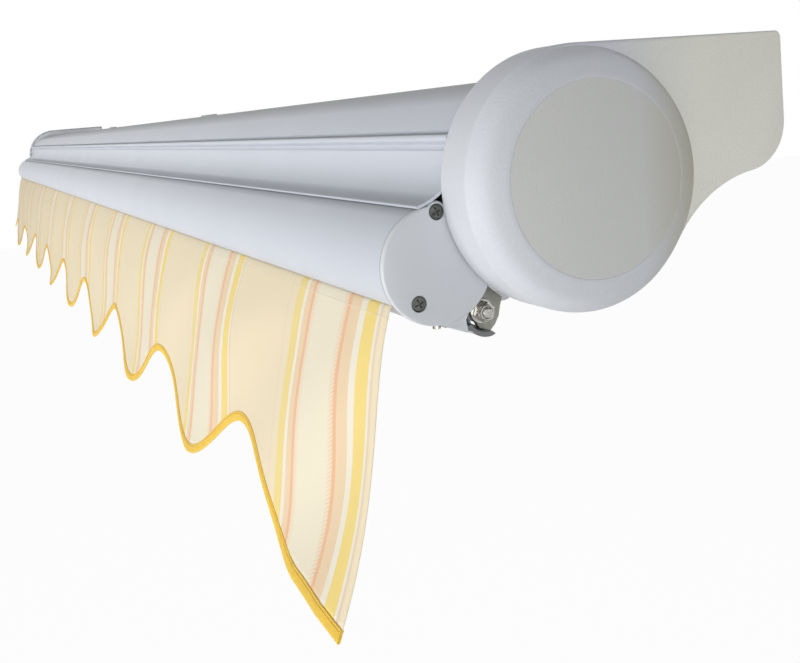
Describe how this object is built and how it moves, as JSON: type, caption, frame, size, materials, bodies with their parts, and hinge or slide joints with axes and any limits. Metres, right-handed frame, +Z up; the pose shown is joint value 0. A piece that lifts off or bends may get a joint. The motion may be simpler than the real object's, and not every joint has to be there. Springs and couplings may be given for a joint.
{
  "type": "folding arm awning",
  "caption": "Retracted folding-arm patio awning with a hood, round end caps, a front bar, folded arms and a scalloped striped valance.",
  "frame": {"origin": "centre of the middle wall bracket's flat face on the wall", "axes": "+X along the awning to its right end seen from the wall, -Y out from the wall, +Z up"},
  "size_m": [3.603, 0.364, 0.3878],
  "materials": {
    "white_coat_aluminium": "fine powder coat, slightly bluish white",
    "white_coat_steel": "fine powder coat on steel",
    "cap_white": "fine-grained moulded white",
    "disc_grey": "fine-grained moulded pale grey",
    "zinc": "zinc plated",
    "dark_zinc": "dark olive plating",
    "alloy": "cast, blasted",
    "nylon": "black moulded",
    "keder": "extruded rod",
    "cloth": "woven striped acrylic",
    "binding": "folded woven tape"
  },
  "bodies": {
    "cassette": {"torsion_tube": "white_coat_steel", "hood": "white_coat_aluminium", "idler_bearing": "nylon", "tube_motor": "nylon", "canopy_lead": "cloth", "wall_bracket_L": "white_coat_aluminium", "bracket_clamp_L": "white_coat_aluminium", "wall_bracket_C": "white_coat_aluminium", "bracket_clamp_C": "white_coat_aluminium", "wall_bracket_R": "white_coat_aluminium", "bracket_clamp_R": "white_coat_aluminium", "hood_support_L": "alloy", "end_plate_L": "alloy", "end_cap_L": "cap_white", "cap_disc_L": "disc_grey", "arm_console_L": "white_coat_aluminium", "tilt_bolt_L": "zinc", "hood_support_R": "alloy", "end_plate_R": "alloy", "end_cap_R": "cap_white", "cap_disc_R": "disc_grey", "arm_console_R": "white_coat_aluminium", "tilt_bolt_R": "zinc"},
    "roller": {"roller_tube": "zinc", "cloth_roll": "cloth", "roller_plug": "nylon", "drive_wheel": "nylon"},
    "tilt_L": {"tilt_block_L": "white_coat_aluminium", "shoulder_pin_L": "zinc"},
    "upper_arm_L": {"upper_arm_L": "white_coat_aluminium", "shoulder_head_L": "alloy", "elbow_fork_L": "alloy", "elbow_pin_L": "zinc"},
    "forearm_L": {"forearm_L": "white_coat_aluminium", "elbow_tongue_L": "alloy", "wrist_head_L": "alloy"},
    "knuckle_L": {"knuckle_L": "alloy", "wrist_pin_L": "zinc"},
    "tilt_R": {"tilt_block_R": "white_coat_aluminium", "shoulder_pin_R": "zinc"},
    "upper_arm_R": {"upper_arm_R": "white_coat_aluminium", "shoulder_head_R": "alloy", "elbow_fork_R": "alloy", "elbow_pin_R": "zinc"},
    "forearm_R": {"forearm_R": "white_coat_aluminium", "elbow_tongue_R": "alloy", "wrist_head_R": "alloy"},
    "knuckle_R": {"knuckle_R": "alloy", "wrist_pin_R": "zinc"},
    "front_bar": {"front_bar": "white_coat_aluminium", "valance": "cloth", "valance_binding": "binding", "valance_keder": "keder", "canopy_keder": "keder", "bar_cap_L": "white_coat_aluminium", "bar_carrier_L": "dark_zinc", "knuckle_bolt_L": "zinc", "bar_cap_R": "white_coat_aluminium", "bar_carrier_R": "dark_zinc", "knuckle_bolt_R": "zinc"}
  },
  "joints": [
    {"name": "roller_turn", "type": "hinge", "parent": "cassette", "child": "roller", "pos_m": [0, -0.178, -0.038], "axis": [1, 0, 0], "continuous": true},
    {"name": "pitch_R", "type": "hinge", "parent": "cassette", "child": "tilt_R", "pos_m": [1.6615, -0.06, -0.094], "axis": [1, 0, 0], "range_deg": [0, 15]},
    {"name": "shoulder_R", "type": "hinge", "parent": "tilt_R", "child": "upper_arm_R", "pos_m": [1.6615, -0.106, -0.113], "axis": [0, 0, 1], "range_deg": [0, 73], "deforming": ["canopy_lead"]},
    {"name": "elbow_R", "type": "hinge", "parent": "upper_arm_R", "child": "forearm_R", "pos_m": [0.36221, -0.149, -0.113], "axis": [0, 0, 1], "range_deg": [-146, 0]},
    {"name": "wrist_R", "type": "hinge", "parent": "forearm_R", "child": "knuckle_R", "pos_m": [1.6615, -0.192, -0.113], "axis": [0, 0, 1], "range_deg": [0, 73]},
    {"name": "pitch_L", "type": "hinge", "parent": "cassette", "child": "tilt_L", "pos_m": [-1.6615, -0.06, -0.094], "axis": [1, 0, 0], "range_deg": [0, 15]},
    {"name": "shoulder_L", "type": "hinge", "parent": "tilt_L", "child": "upper_arm_L", "pos_m": [-1.6615, -0.106, -0.113], "axis": [0, 0, 1], "range_deg": [-73, 0]},
    {"name": "elbow_L", "type": "hinge", "parent": "upper_arm_L", "child": "forearm_L", "pos_m": [-0.36221, -0.149, -0.113], "axis": [0, 0, 1], "range_deg": [0, 146]},
    {"name": "wrist_L", "type": "hinge", "parent": "forearm_L", "child": "knuckle_L", "pos_m": [-1.6615, -0.192, -0.113], "axis": [0, 0, 1], "range_deg": [-73, 0]},
    {"name": "bar_tilt", "type": "hinge", "parent": "knuckle_R", "child": "front_bar", "pos_m": [1.6615, -0.2389, -0.1268], "axis": [1, 0, 0], "range_deg": [-15, 0]}
  ],
  "couplings": [
    {"joint": "shoulder_L", "follows": "shoulder_R", "ratio": -1},
    {"joint": "elbow_R", "follows": "shoulder_R", "ratio": -2},
    {"joint": "elbow_L", "follows": "shoulder_R", "ratio": 2},
    {"joint": "wrist_R", "follows": "shoulder_R", "ratio": 1},
    {"joint": "wrist_L", "follows": "shoulder_R", "ratio": -1},
    {"joint": "pitch_L", "follows": "pitch_R", "ratio": 1},
    {"joint": "bar_tilt", "follows": "pitch_R", "ratio": -1}
  ]
}
